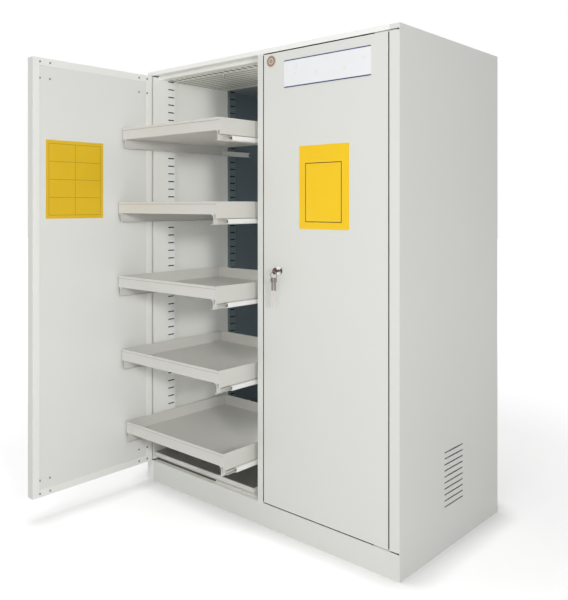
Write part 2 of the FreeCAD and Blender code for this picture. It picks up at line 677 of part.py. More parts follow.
def leaf(side):
    """Build one leaf in the frame of its pivot, closed, then place it."""
    openings = {
        "left": f"({POST_LEFT} - {LEFT} - jamb_width)",
        "right": f"({RIGHT} - jamb_width - {POST_RIGHT})",
    }
    near = "(pivot_inset + leaf_gap)"
    far = f"(pivot_inset + {openings[side]} - leaf_gap)"
    face = "(-pivot_setback)"
    rear = "(leaf_thickness - pivot_setback)"
    sign = "-1" if side == "right" else "1"

    def start_of(low, high):
        """Return where a box that runs between two distances from the pivot starts."""
        return low if side == "left" else f"-1 * ({high})"

    def span_of(low, high):
        """Return how long such a box is."""
        return f"({high}) - ({low})"

    shell = new_body(f"{side}_leaf_shell")
    outline = [(near, face), (far, face), (far, rear), (near, rear)]
    pad_loops(shell, "XY_Plane", side_loops(side, outline), LEAF_TALL)
    add_box(shell, "Subtractive", span_of(f"{near} + leaf_sheet", f"{far} - leaf_sheet"),
            "leaf_thickness - 2 * leaf_sheet", f"{LEAF_TALL} - 2 * leaf_sheet",
            start_of(f"{near} + leaf_sheet", f"{far} - leaf_sheet"), f"{face} + leaf_sheet", "leaf_sheet")
    add_box(shell, "Subtractive", span_of(f"{near} + leaf_return", f"{far} - leaf_return"),
            "leaf_sheet + 2 * overrun", f"{LEAF_TALL} - 2 * leaf_return",
            start_of(f"{near} + leaf_return", f"{far} - leaf_return"), f"{rear} - leaf_sheet - overrun",
            "leaf_return")

    edge = "leaf_sheet + liner_clearance"
    liner = new_body(f"{side}_leaf_liner")
    add_box(liner, "Additive", span_of(f"{near} + {edge}", f"{far} - ({edge})"), "leaf_sheet",
            f"{LEAF_TALL} - 2 * ({edge})", start_of(f"{near} + {edge}", f"{far} - ({edge})"),
            f"{rear} - 2 * leaf_sheet", edge)

    if side == "right":
        lock_x = f"{sign} * ({far} - lock_edge)"
        for body in (shell, liner):
            add_cylinder(body, "Subtractive", "barrel_radius", "leaf_thickness + 2 * overrun", lock_x,
                         f"{face} - overrun", f"lock_level - {LEAF_LOW}", along="y")

    arm = new_body(f"{side}_hinge_arm")
    add_cylinder(arm, "Additive", "arm_radius", "arm_thickness")
    add_box(arm, "Additive", "arm_reach", "2 * arm_radius", "arm_thickness",
            start_of("0", "arm_reach"), "-arm_radius")
    add_cylinder(arm, "Subtractive", "pin_radius + pin_clearance", "arm_thickness + 2 * overrun",
                 "0", "0", "-overrun")
    arms = placed(f"{side}_hinge_arms", [
        placed(f"{side}_arm_low", [arm], "0", "0", "-arm_thickness"),
        placed(f"{side}_arm_high", [arm], "0", "0", LEAF_TALL)])

    for piece, label in ((shell, f"{side}_leaf_shell"), (liner, f"{side}_leaf_liner"),
                         (arms, f"{side}_hinge_arms")):
        node(place_leaf_piece(piece, side, LEAF_LOW), label)


def hinge_pins():
    """Build the four pins, each with its block inside a jamb."""
    body = new_body("hinge_pin")
    block = "(jamb_width - 2 * skin)"
    add_box(body, "Additive", block, "jamb_depth - 2 * skin", "pin_block",
            "pivot_inset - jamb_width + skin", "skin - pivot_setback", "-pin_block")
    add_cylinder(body, "Additive", "pin_radius", "pin_block + arm_clearance + arm_thickness", "0", "0",
                 "-pin_block")
    upper = doc.addObject("Part::Mirroring", "hinge_pin_upper")
    upper.Source = body
    upper.Normal = FreeCAD.Vector(0, 0, 1)
    inset = "jamb_width - pivot_inset"
    depth = f"{FRONT} + pivot_setback"
    top = "cab_height - header_height"
    pieces = []
    for level, piece, z in (("low", body, "plinth_height"), ("high", upper, top)):
        pieces.append(placed(f"pin_{level}_left", [piece], f"{LEFT} + {inset}", depth, z))
        pieces.append(placed(f"pin_{level}_right", [mirrored(piece)], f"{RIGHT} - ({inset})", depth, z))
    node(placed("hinge_pins", pieces), "hinge_pins")


# Lock: barrel with rosette, plug with cam, key, and a bunch on a ring through the key's bow

LOCK_X = f"({POST_RIGHT} + leaf_gap + lock_edge)"
BOW_Y = "(rosette_height + key_neck + key_bow_radius)"
HOLE_Y = f"({BOW_Y} + key_bow_radius - key_hole_edge)"


def eight_sided(y, z, reach):
    """Return an eight-sided outline by its middle and the distance from there to its flats."""
    sides = 8
    turn = 360 / sides
    corners = [turn * (index + 0.5) for index in range(sides)]
    radius = f"({reach}) / cos({turn / 2})"
    return [(f"{y} + {radius} * cos({angle})", f"{z} + {radius} * sin({angle})") for angle in corners]


def lock():
    """Build the lock in a frame at the middle of its rosette's seat."""
    barrel = new_body("lock_barrel")
    add_cylinder(barrel, "Additive", "rosette_radius", "rosette_height", "0", "-rosette_height", "0", along="y")
    add_cylinder(barrel, "Additive", "barrel_radius", "leaf_thickness", along="y")
    add_cylinder(barrel, "Subtractive", "plug_radius + plug_clearance",
                 "leaf_thickness + rosette_height + 2 * overrun", "0", "-rosette_height - overrun", "0", along="y")
    node(put(barrel, LOCK_X, FRONT, "lock_level"), "lock_barrel")

    plug = new_body("lock_plug")
    add_cylinder(plug, "Additive", "plug_radius", "leaf_thickness + rosette_height + cam_thickness",
                 "0", "-rosette_height", "0", along="y")
    add_box(plug, "Additive", "cam_width", "cam_thickness", "cam_length", "-cam_width / 2", "leaf_thickness",
            "-cam_width / 2")
    node(put(plug, LOCK_X, FRONT, "lock_level"), "lock_plug")

    key = new_body("lock_key")
    pad_loops(key, "YZ_Plane", [eight_sided(f"-{BOW_Y}", "0", "key_bow_radius")], "key_thickness",
              offset="-key_thickness / 2")
    add_box(key, "Additive", "key_thickness", "key_neck + key_bow_radius", "key_neck_width",
            "-key_thickness / 2", "-rosette_height - key_neck - key_bow_radius", "-key_neck_width / 2")
    cut_loops(key, "YZ_Plane", [eight_sided(f"-{HOLE_Y}", "0", "key_hole_radius")], "key_thickness",
              offset="-key_thickness / 2")
    node(put(key, LOCK_X, FRONT, "lock_level"), "lock_key")

    ring = new_body("key_ring")
    add_cylinder(ring, "Additive", "ring_radius + ring_wire", "ring_width", "0", "-ring_width / 2", along="y")
    add_cylinder(ring, "Subtractive", "ring_radius - ring_wire", "ring_width + 2 * overrun", "0",
                 "-ring_width / 2 - overrun", along="y")
    wire_z = "(ring_wire + ring_clearance - key_hole_radius)"
    put(ring, LOCK_X, f"{FRONT} - {HOLE_Y}", f"lock_level + {wire_z} - ring_radius")

    spare = new_body("spare_key")
    hole = "(spare_bow_radius - key_hole_edge)"
    pad_loops(spare, "YZ_Plane", [eight_sided("0", f"-{hole}", "spare_bow_radius")], "key_thickness",
              offset="-key_thickness / 2")
    add_box(spare, "Additive", "key_thickness", "key_blade_width", "key_length + spare_bow_radius",
            "-key_thickness / 2", "-key_blade_width / 2", f"-{hole} - spare_bow_radius - key_length")
    cut_loops(spare, "YZ_Plane", [eight_sided("0", "0", "key_hole_radius")], "key_thickness",
              offset="-key_thickness / 2")

    tag = new_body("bunch_tag")
    top = "key_hole_edge"
    strap = "tag_strap_width / 2"
    low = "(-tag_strap)"
    wide = "tag_width / 2"
    end = f"({low} - tag_height)"
    pad_loops(tag, "YZ_Plane", [[
        (f"-{strap}", top), (f"-{strap}", low), (f"-{wide}", low), (f"-{wide}", end), (wide, end),
        (wide, low), (strap, low), (strap, top)]], "tag_thickness", offset="-tag_thickness / 2")
    cut_loops(tag, "YZ_Plane", [eight_sided("0", "0", "tag_hole_radius")], "tag_thickness",
              offset="-tag_thickness / 2")

    middle = f"lock_level + {wire_z} - ring_radius"
    rest = "(key_hole_radius - ring_wire - ring_clearance) / 2"
    pieces = [ring]
    for name, sign in (("spare_key_west", "-1"), ("spare_key_east", "1")):
        x = f"{LOCK_X} + {sign} * ring_radius * sin(key_spread_angle)"
        z = f"{middle} - ring_radius * cos(key_spread_angle) - {rest}"
        pieces.append(placed(name, [spare], x, f"{FRONT} - {HOLE_Y}", z))
    pieces.append(placed("bunch_tag_place", [tag], LOCK_X, f"{FRONT} - {HOLE_Y}", f"{middle} - ring_radius"))
    node(placed("key_bunch", pieces), "key_bunch")


carcass()
uprights()
ceiling()
slides = slide_members()
bay_trays("left", f"({LEFT} + jamb_width)", POST_LEFT, slides)
bay_trays("right", POST_RIGHT, f"({RIGHT} - jamb_width)", slides)
leaf("left")
leaf("right")
hinge_pins()
lock()
doc.recompute()

for obj in doc.Objects:
    if "Invalid" in obj.State or "Error" in obj.State:
        raise RuntimeError(f"{obj.Label} failed: {obj.State}")
for obj in nodes:
    if obj.Shape.isNull() or not obj.Shape.isValid() or not obj.Shape.Solids:
        raise RuntimeError(f"{obj.Label} has no valid solid")

os.makedirs("parts", exist_ok=True)
for obj in nodes:
    obj.Shape.exportStep(f"parts/{obj.Label}.step")
print(len(nodes), "pieces written")
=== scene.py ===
import math
import bmesh
import bpy
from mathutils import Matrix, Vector


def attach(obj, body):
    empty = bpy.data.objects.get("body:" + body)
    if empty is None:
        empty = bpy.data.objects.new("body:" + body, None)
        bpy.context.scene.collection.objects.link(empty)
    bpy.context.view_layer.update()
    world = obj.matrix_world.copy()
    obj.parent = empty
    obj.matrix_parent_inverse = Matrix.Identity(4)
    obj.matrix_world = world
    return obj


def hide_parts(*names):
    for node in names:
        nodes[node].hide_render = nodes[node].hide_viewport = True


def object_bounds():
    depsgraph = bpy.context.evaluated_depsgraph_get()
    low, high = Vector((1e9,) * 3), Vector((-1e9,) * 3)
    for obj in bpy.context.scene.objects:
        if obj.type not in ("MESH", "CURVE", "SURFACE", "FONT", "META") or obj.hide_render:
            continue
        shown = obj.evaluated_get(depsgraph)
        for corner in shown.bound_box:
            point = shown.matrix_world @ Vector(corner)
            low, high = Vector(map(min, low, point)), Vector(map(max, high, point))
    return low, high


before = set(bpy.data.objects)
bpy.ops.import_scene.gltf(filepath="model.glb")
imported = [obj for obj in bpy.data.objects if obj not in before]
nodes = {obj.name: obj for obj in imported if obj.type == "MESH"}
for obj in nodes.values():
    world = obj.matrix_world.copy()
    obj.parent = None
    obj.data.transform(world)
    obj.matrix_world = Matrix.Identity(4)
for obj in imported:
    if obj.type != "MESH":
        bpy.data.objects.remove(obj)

cad_box = [list(corner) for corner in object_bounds()]

# Viewpoint. A level camera to the right of the cabinet, a little above its middle. The frame is moved
# sideways and down by the lens shift, as on a studio view camera, so that upright edges stay upright.
CAMERA_PLACE = (1.64265, -2.15427, 1.09567)
CAMERA_TURN = 0.7675
LENS = 42.561
SENSOR = 36.0
SHIFT_RIGHT = 0.0900
SHIFT_DOWN = 0.15853
camera_data = bpy.data.cameras.new("view_camera")
camera_data.lens = LENS
camera_data.sensor_width = SENSOR
camera_data.shift_x = SHIFT_RIGHT
camera_data.shift_y = -SHIFT_DOWN
camera = bpy.data.objects.new("view_camera", camera_data)
camera.location = CAMERA_PLACE
camera.rotation_euler = (math.radians(90.0), 0.0, CAMERA_TURN)
bpy.context.collection.objects.link(camera)
bpy.context.scene.camera = camera


# Carcass: sides, back, top, plinth, header and centre post. Folded steel sheet, spot-welded and baked in
# a warm white powder paint, which leaves a very fine orange peel and a faint cloud in tone and gloss. The
# faces round the doorway, in the bays and at the front are painted a lighter tone, as painted light.
class Value:
    """A socket of a node tree that takes part in sums."""

    def __init__(self, tree, socket):
        self.tree = tree
        self.socket = socket

    def join(self, operation, *terms):
        """Add a Math node and return its result."""
        node = self.tree.nodes.new("ShaderNodeMath")
        node.operation = operation
        for slot, term in zip(node.inputs, terms):
            if isinstance(term, Value):
                self.tree.links.new(term.socket, slot)
            else:
                slot.default_value = term
        return Value(self.tree, node.outputs[0])

    def __add__(self, other):
        return self.join("ADD", self, other)

    def __radd__(self, other):
        return self.join("ADD", other, self)

    def __sub__(self, other):
        return self.join("SUBTRACT", self, other)

    def __rsub__(self, other):
        return self.join("SUBTRACT", other, self)

    def __mul__(self, other):
        return self.join("MULTIPLY", self, other)

    def __rmul__(self, other):
        return self.join("MULTIPLY", other, self)

    def __truediv__(self, other):
        return self.join("DIVIDE", self, other)

    def __lt__(self, other):
        return self.join("LESS_THAN", self, other)

    def __gt__(self, other):
        return self.join("GREATER_THAN", self, other)

    def __mod__(self, other):
        return self.join("FLOORED_MODULO", self, other)

    def __abs__(self):
        return self.join("ABSOLUTE", self)

    def either(self, other):
        """Return the larger one, which joins two masks."""
        return self.join("MAXIMUM", self, other)

    def at_most(self, other):
        return self.join("MINIMUM", self, other)

    def root(self):
        return self.join("SQRT", self)


class Nodes:
    """A node tree whose nodes come from one method."""

    def __init__(self, tree):
        self.tree = tree

    def node(self, kind, settings=None, **sockets):
        """Add a node with its settings; a socket is named, or given by its number as i0, i1 and so on."""
        node = self.tree.nodes.new(kind)
        for key, value in (settings or {}).items():
            setattr(node, key, value)
        for key, value in sockets.items():
            slot = node.inputs[int(key[1:])] if key[1:].isdigit() else node.inputs[key.replace("_", " ")]
            if isinstance(value, Value):
                self.tree.links.new(value.socket, slot)
            else:
                slot.default_value = value
        return node

    def out(self, node, name=0):
        """Return an output of a node."""
        return Value(self.tree, node.outputs[name])


class Finish(Nodes):
    """A material around one Principled shader, whose steady values are set on the shader's own sockets."""

    def __init__(self, name, **steady):
        self.material = bpy.data.materials.new(name)
        self.material.use_nodes = True
        super().__init__(self.material.node_tree)
        self.shader = next(n for n in self.tree.nodes if n.type == "BSDF_PRINCIPLED")
        for key, value in steady.items():
            self.shader.inputs[key.replace("_", " ")].default_value = value

    def place(self):
        """Return the place on the piece, in the frame's own metres."""
        return self.out(self.node("ShaderNodeTexCoord"), "Object")

    def axes(self):
        """Return the three coordinates of the place: across, back and up."""
        split = self.node("ShaderNodeSeparateXYZ", Vector=self.place())
        return [self.out(split, axis) for axis in "XYZ"]

    def noise(self, scale, detail=2.0, stretch=(1.0, 1.0, 1.0)):
        """Return soft random spots; a larger scale makes smaller spots."""
        shaped = self.node("ShaderNodeMapping", Vector=self.place(), Scale=stretch)
        return self.out(self.node("ShaderNodeTexNoise", Vector=self.out(shaped), Scale=scale, Detail=detail))

    def mix(self, share, first, second):
        """Return the first colour where the share is 0 and the second where it is 1."""
        return self.out(self.node("ShaderNodeMix", {"data_type": "RGBA"}, i0=share, i6=first, i7=second), 2)

    def feed(self, name, value):
        """Lead a value into a socket of the shader."""
        self.tree.links.new(value.socket, self.shader.inputs[name])

    def mottle(self, scale, first, second):
        """Colour the finish between two tones in soft spots."""
        self.feed("Base Color", self.mix(self.noise(scale), first, second))

    def bump(self, height, strength, distance):
        """Roughen the surface by a height."""
        made = self.node("ShaderNodeBump", Height=height, Strength=strength, Distance=distance)
        self.tree.links.new(made.outputs[0], self.shader.inputs["Normal"])


def screen(red, green, blue):
    """Return the shader colour for a colour given in 255ths, as it looks on a screen."""
    shares = (red / 255.0, green / 255.0, blue / 255.0)
    return tuple(c / 12.92 if c <= 0.04045 else ((c + 0.055) / 1.055) ** 2.4 for c in shares) + (1.0,)


CLOUD_SCALE = 2.6
GLOSS_SCALE, GLOSS_SPREAD = 34.0, 0.14
PEEL_SCALE, PEEL_DEPTH = 850.0, 0.0003
WAVE_SCALE, WAVE_SHARE = 190.0, 0.35


def powder_coat(name, colour, gloss=0.42, peel=0.10, cloud=0.03):
    """Return baked powder paint and its finish: fine orange peel, a faint cloud in tone and in gloss."""
    paint = Finish(name, Specular_IOR_Level=0.45)
    dim = tuple(c * (1.0 - cloud) for c in colour[:3]) + (1.0,)
    paint.tone = paint.mix(paint.noise(CLOUD_SCALE, 3.0), dim, colour)
    paint.feed("Base Color", paint.tone)
    paint.feed("Roughness", gloss + GLOSS_SPREAD * (paint.noise(GLOSS_SCALE) - 0.5))
    paint.bump(paint.noise(PEEL_SCALE) + WAVE_SHARE * paint.noise(WAVE_SCALE), peel, PEEL_DEPTH)
    return paint


def dress(finish, *names):
    """Give nodes of the frame a finish."""
    for name in names:
        for slot in nodes[name].material_slots:
            slot.material = finish.material


def box_of(name):
    """Return the low and the high corner of a node of the frame."""
    axes = list(zip(*(vertex.co for vertex in nodes[name].data.vertices)))
    return Vector([min(axis) for axis in axes]), Vector([max(axis) for axis in axes])


def between(value, low, high):
    """Return 1 where a value is between two others."""
    return (value > low) * (value < high)


SLACK = 0.0005
INNER_SKIN = 0.549
JAMB_TURN = -0.300
jamb_low, jamb_high = box_of("side_panel_left")
leaf_low, leaf_high = box_of("left_leaf_shell")
post_low, post_high = box_of("centre_post")
bay_low, bay_high = box_of("uprights_left_bay")
cabinet_top = box_of("top_panel")[1].z
shell_white = powder_coat("carcass_paint", screen(230, 231, 226))
across, back, up = shell_white.axes()
behind_jamb = (abs(across) < INNER_SKIN + SLACK) * (back > bay_low.y - 2.0 * SLACK)
in_doorway = (back > jamb_low.y + SLACK).either(up > post_high.z - SLACK)
in_doorway = in_doorway * (abs(across) < SLACK - jamb_high.x)
in_cabinet = (back < jamb_high.y + SLACK) * between(up, post_low.z - SLACK, cabinet_top - SLACK)
on_return = (across > leaf_high.x - SLACK) * (back < leaf_high.y + 2.0 * SLACK)
on_jamb = between(across, jamb_low.x + SLACK, jamb_high.x + SLACK)
on_jamb = on_jamb * between(back, jamb_low.y - SLACK, JAMB_TURN)
# painted light: a lighter tone on the faces round the doorway, in the bays, on the jamb fronts and the
# leaves
painted_light_faces = (behind_jamb.either(in_doorway) * in_cabinet).either(on_return).either(on_jamb)
shell_white.feed("Base Color", shell_white.mix(painted_light_faces, shell_white.tone, screen(250, 250, 246)))
dress(shell_white, "side_panel_left", "side_panel_right", "back_panel", "top_panel", "base_pan",
      "header_rail", "centre_post")


# Side slots. Ten slots are pressed through the outer skin of each side near the bottom at the back; the
# die leaves a narrow raised rim round each. Behind them a dark pad is painted shade that stands in for the
# dark inside the slots.
def start(kind, name, **settings):
    """Add a primitive with nothing else selected, under a name of its own."""
    bpy.ops.object.select_all(action="DESELECT")
    getattr(bpy.ops.mesh, f"primitive_{kind}_add")(**settings)
    piece = bpy.context.object
    piece.name = name
    piece.data.name = name
    return piece


def choose(piece, kind, test):
    """Select the faces, edges or vertices of an open piece whose middle and direction pass a test."""
    mesh = bmesh.from_edit_mesh(piece.data)
    for group in (mesh.faces, mesh.edges, mesh.verts):
        for item in group:
            item.select = False
    for item in list(getattr(mesh, kind)):
        if kind == "faces":
            middle, along = item.calc_center_median(), item.normal
        elif kind == "edges":
            middle = (item.verts[0].co + item.verts[1].co) / 2.0
            along = (item.verts[1].co - item.verts[0].co).normalized()
        else:
            middle, along = item.co, item.normal
        if test(middle, along):
            item.select_set(True)
    bmesh.update_edit_mesh(piece.data)


def pick_up(piece):
    """Make a piece the active one and the only one selected."""
    bpy.ops.object.select_all(action="DESELECT")
    piece.select_set(True)
    bpy.context.view_layer.objects.active = piece


def edit(piece, mode="FACE"):
    """Open a piece for editing with all of it selected."""
    pick_up(piece)
    bpy.ops.object.mode_set(mode="EDIT")
    bpy.ops.mesh.select_mode(type=mode)
    bpy.ops.mesh.select_all(action="SELECT")


def close(piece, smooth=30.0):
    """End the editing, put the piece's place into its mesh and smooth its gentle edges."""
    if bpy.context.mode == "EDIT_MESH":
        bpy.ops.object.mode_set(mode="OBJECT")
    pick_up(piece)
    bpy.ops.object.transform_apply(location=True, rotation=True, scale=True)
    bpy.ops.object.shade_smooth_by_angle(angle=math.radians(smooth))
    return piece


def apply_bevel(piece, width, segments=2, angle=40.0):
    """Break the sharp edges of a piece with a bevel modifier and apply it."""
    bevel = piece.modifiers.new("broken_edges", "BEVEL")
    bevel.width = width
    bevel.segments = segments
    bevel.limit_method = "ANGLE"
    bevel.angle_limit = math.radians(angle)
    pick_up(piece)
    bpy.ops.object.modifier_apply(modifier=bevel.name)


def block(name, *ranges):
    """Return a cube that fills three ranges, along x, y and z."""
    piece = start("cube", name, size=1.0, location=[(low + high) / 2.0 for low, high in ranges])
    piece.scale = [high - low for low, high in ranges]
    return close(piece)


FINE_EDGE = 0.0002
HAIR_EDGE = 0.0001


def sheet_piece(name, *ranges, edge=FINE_EDGE):
    """Return a thin sheet with broken edges that fills three ranges."""
    piece = block(name, *ranges)
    apply_bevel(piece, edge)
    return close(piece)


def finish_piece(piece, finish, body):
    """Give a new piece its material and the body that it rides on."""
    piece.data.materials.clear()
    piece.data.materials.append(finish.material)
    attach(piece, body)


def copy_of(piece, name, shift=(0.0, 0.0, 0.0)):
    """Return a copy with a mesh of its own, moved by a shift that goes into the mesh."""
    twin = piece.copy()
    twin.data = piece.data.copy()
    twin.name = name
    twin.data.name = name
    bpy.context.collection.objects.link(twin)
    for vertex in twin.data.vertices:
        vertex.co += Vector(shift)
    return twin


def repeated(piece, name, shifts):
    """Return copies of a piece, one at each shift, joined under a name. The piece itself goes."""
    twins = [copy_of(piece, f"{name}_{count}", shift) for count, shift in enumerate(shifts)]
    bpy.data.objects.remove(piece)
    pick_up(twins[0])
    for twin in twins:
        twin.select_set(True)
    bpy.ops.object.join()
    twins[0].name = name
    twins[0].data.name = name
    return twins[0]


LOUVRE_COUNT = 10
LOUVRE_PITCH = 0.0191
LOUVRE_LENGTH = 0.128
LOUVRE_HALF = 0.00225
LOUVRE_FIRST = 0.13625
LOUVRE_RIM = 0.0012
LOUVRE_PROUD = 0.0007
SIDE_SKIN = 0.0015
SHADE_PAD_THICK = 0.004
SHADE_PAD_HALF = 0.072
SHADE_PAD_RISE = (0.120, 0.322)
SHADE_PAD_EDGE = 0.0003
NEAR_MIDDLE = 0.00001
# painted shade: a dark pad behind the slots makes them read dark
slot_shade_pad = Finish("slot_shade_pad", Roughness=0.95, Specular_IOR_Level=0.2)
slot_shade_pad.mottle(400.0, screen(26, 25, 24), screen(44, 42, 40))
slot_shade_pad.bump(slot_shade_pad.noise(900.0), 0.5, 0.0006)
for side, sign in (("left", -1.0), ("right", 1.0)):
    outer = sign * cad_box[1][0]
    rim = start("circle", f"louvre_rim_{side}", vertices=12, radius=LOUVRE_HALF + LOUVRE_RIM,
                fill_type="NGON", rotation=(0.0, sign * math.radians(90.0), 0.0),
                location=(outer, 0.0, LOUVRE_FIRST))
    edit(rim, "VERT")
    for end in (-1.0, 1.0):
        choose(rim, "verts", lambda middle, along: middle.y * end > NEAR_MIDDLE)
        bpy.ops.transform.translate(value=(0.0, end * (LOUVRE_LENGTH / 2.0 - LOUVRE_HALF), 0.0))
    bpy.ops.mesh.select_mode(type="FACE")
    bpy.ops.mesh.select_all(action="SELECT")
    bpy.ops.mesh.inset(thickness=LOUVRE_RIM)
    bpy.ops.mesh.delete(type="FACE")
    bpy.ops.mesh.select_all(action="SELECT")
    bpy.ops.mesh.extrude_region_move(TRANSFORM_OT_translate={"value": (sign * LOUVRE_PROUD, 0.0, 0.0)})
    bpy.ops.mesh.select_all(action="SELECT")
    bpy.ops.mesh.normals_make_consistent(inside=False)
    close(rim)
    apply_bevel(rim, FINE_EDGE, segments=1)
    close(rim, smooth=50.0)
    rim_places = [(0.0, 0.0, row * LOUVRE_PITCH) for row in range(LOUVRE_COUNT)]
    rims = repeated(rim, f"louvre_rims_{side}", rim_places)
    finish_piece(rims, shell_white, "cabinet")
    face = outer - sign * SIDE_SKIN
    shade_pad_depth = sorted((face, face - sign * SHADE_PAD_THICK))
    pad = sheet_piece(f"louvre_shade_pad_{side}", shade_pad_depth, (-SHADE_PAD_HALF, SHADE_PAD_HALF), SHADE_PAD_RISE, edge=SHADE_PAD_EDGE)
    finish_piece(pad, slot_shade_pad, "cabinet")


# Rear lining. Dark blue-grey coated sheets stand against the sides and the back behind the rear uprights;
# two columns of small round holes let the air pass at the sides. They are screwed on under the ceiling.
# Their dark tone is partly painted shade for the deep back of the bays.
LINING_THICK = 0.001
LINING_SETBACK = 0.001
LINING_GAP = 0.0005
AIR_HOLE_PITCH = 0.012
AIR_HOLE_RADIUS = 0.0022
AIR_HOLE_LINE = 0.152
AIR_HOLE_SPREAD = 0.004
# dark blue-grey, partly painted shade at the back of the bays
lining = powder_coat("rear_lining", screen(112, 124, 132), gloss=0.5, cloud=0.08)
back, up = lining.axes()[1:]
hole_level = (up % AIR_HOLE_PITCH) - AIR_HOLE_PITCH / 2.0
hole_depth = abs(back - AIR_HOLE_LINE) - AIR_HOLE_SPREAD
round_hole = (hole_level * hole_level + hole_depth * hole_depth).root() < AIR_HOLE_RADIUS
lining.feed("Base Color", lining.mix(round_hole, lining.tone, screen(34, 39, 43)))
rear = box_of("back_panel")[0].y
for bay in ("left", "right"):
    low, high = box_of(f"uprights_{bay}_bay")
    beside = (high.y + LINING_SETBACK, rear)
    rise = (low.z + LINING_GAP, high.z - LINING_GAP)
    for part, width, depth in (
            ("west", (low.x, low.x + LINING_THICK), beside),
            ("east", (high.x - LINING_THICK, high.x), beside),
            ("back", (low.x + LINING_THICK, high.x - LINING_THICK), (rear - LINING_THICK, rear))):
        sheet = sheet_piece(f"lining_{bay}_{part}", width, depth, rise)
        finish_piece(sheet, lining, "cabinet")


# Inner skins: partition, bottom and the sheets inside the leaves. The same powder paint, a shade greyer
# than the faces of the carcass that carry the painted light.
inner_white = powder_coat("liner_paint", screen(240, 241, 237))
dress(inner_white, "partition_panel", "bottom_panel", "left_leaf_liner", "right_leaf_liner")


# Uprights. Roll-formed steel channels with a row of slots for the tray slides. The rear ones are painted
# dark like the lining, partly as painted shade for the back of the bays. A black strip inside each channel
# is painted shade that stands in for the dark inside it, so the slots read as deep holes.
UPRIGHT_WIDTH = 0.041
UPRIGHT_DEEP = 0.012
DARK_FROM = 0.09
STRIP_GAP = 0.0032
STRIP_THICK = 0.0006
STRIP_MARGIN = 0.0018
STRIP_FOOT = 0.001
upright_paint = powder_coat("upright_paint", screen(250, 251, 248), cloud=0.02)
back = upright_paint.axes()[1]
# partly painted shade: the rear uprights darker, like the back of the bays
upright_tone = upright_paint.mix(back > DARK_FROM, upright_paint.tone, screen(118, 130, 134))
upright_paint.feed("Base Color", upright_tone)
dress(upright_paint, "uprights_left_bay", "uprights_right_bay")
# painted shade: black strips inside the channels and a black sheet over the ceiling plates
channel_black = Finish("channel_black", Roughness=0.9, Specular_IOR_Level=0.15)
channel_black.mottle(60.0, screen(20, 20, 21), screen(34, 33, 33))
for bay in ("left", "right"):
    low, high = box_of(f"uprights_{bay}_bay")
    rise = (low.z + STRIP_FOOT, high.z - LINING_GAP)
    for place, front in (("front", low.y), ("rear", high.y - UPRIGHT_WIDTH)):
        depth = (front + STRIP_MARGIN, front + UPRIGHT_WIDTH - STRIP_MARGIN)
        for side, wall, sign in (("west", low.x, 1.0), ("east", high.x, -1.0)):
            near = wall + sign * (UPRIGHT_DEEP - STRIP_GAP)
            width = sorted((near, near - sign * STRIP_THICK))
            strip = sheet_piece(f"channel_strip_{bay}_{place}_{side}", width, depth, rise, edge=HAIR_EDGE)
            finish_piece(strip, channel_black, "cabinet")


# Ceiling. A perforated plate over each bay, with a row of larger holes behind the header, where the
# exhaust air is drawn off. Fine round holes in staggered rows cover it, and it is painted darker to the
# back as painted shade. A black sheet over each plate is painted shade behind the holes.
HOLE_PITCH = 0.015
HOLE_STRETCH = 2.0
HOLE_RADIUS = 0.0048
HOLE_FIELD = (-0.215, 0.05)
VENT_PITCH = 0.030
VENT_LINE = -0.239
VENT_HALF_WIDTH = 0.0055
VENT_HALF_LENGTH = 0.015
DUCT_SIDE_GAP = 0.001
DUCT_DEPTH = (-0.258, 0.330)
DUCT_GAP = 0.0012
DUCT_THICK = 0.001
ceiling_paint = powder_coat("ceiling_paint", screen(250, 250, 242), cloud=0.04)
across, back = ceiling_paint.axes()[:2]
row_pitch = HOLE_PITCH * HOLE_STRETCH
row_shift = ((back / (2.0 * row_pitch)) % 1.0 > 0.5) * (HOLE_PITCH / 2.0)
hole_x = ((across + row_shift) % HOLE_PITCH) - HOLE_PITCH / 2.0
hole_y = ((back % row_pitch) - row_pitch / 2.0) / HOLE_STRETCH
fine_hole = ((hole_x * hole_x + hole_y * hole_y).root() < HOLE_RADIUS) * between(back, *HOLE_FIELD)
from_vent = abs(((across - (bay_low.x + bay_high.x) / 2.0) % VENT_PITCH) - VENT_PITCH / 2.0)
vent = (from_vent < VENT_HALF_WIDTH) * (abs(back - VENT_LINE) < VENT_HALF_LENGTH)
perforated = ceiling_paint.mix(fine_hole, ceiling_paint.tone, screen(104, 105, 98))
# painted shade: the ceiling darker towards the back of the bay
painted_rear_shade = ceiling_paint.mix(back > DARK_FROM, perforated, screen(150, 158, 160))
ceiling_paint.feed("Base Color", ceiling_paint.mix(vent, painted_rear_shade, screen(30, 30, 28)))
dress(ceiling_paint, "ceiling_grille_left", "ceiling_grille_right")
for bay in ("left", "right"):
    low, high = box_of(f"ceiling_grille_{bay}")
    width = (low.x + DUCT_SIDE_GAP, high.x - DUCT_SIDE_GAP)
    rise = (high.z + DUCT_GAP, high.z + DUCT_GAP + DUCT_THICK)
    duct = sheet_piece(f"ceiling_duct_{bay}", width, DUCT_DEPTH, rise)
    finish_piece(duct, channel_black, "cabinet")


# Gap shade strips. Thin black rubber strips line the gap round the shut leaf: on the post, under the
# header, on the plinth and on the leaf's own hinge edge. They are painted shade that darkens the gaps.
GAP_SHADE_THICK = 0.0009
GAP_SHADE_BACK = -0.304
GAP_SHADE_WIDTH = (0.046, 0.480)
UPRIGHT_GAP_SHADE_DEPTH = (-0.3347, GAP_SHADE_BACK)
LEVEL_GAP_SHADE_DEPTH = (-0.3325, GAP_SHADE_BACK)
GAP_SHADE_RISE = (0.085, 1.604)
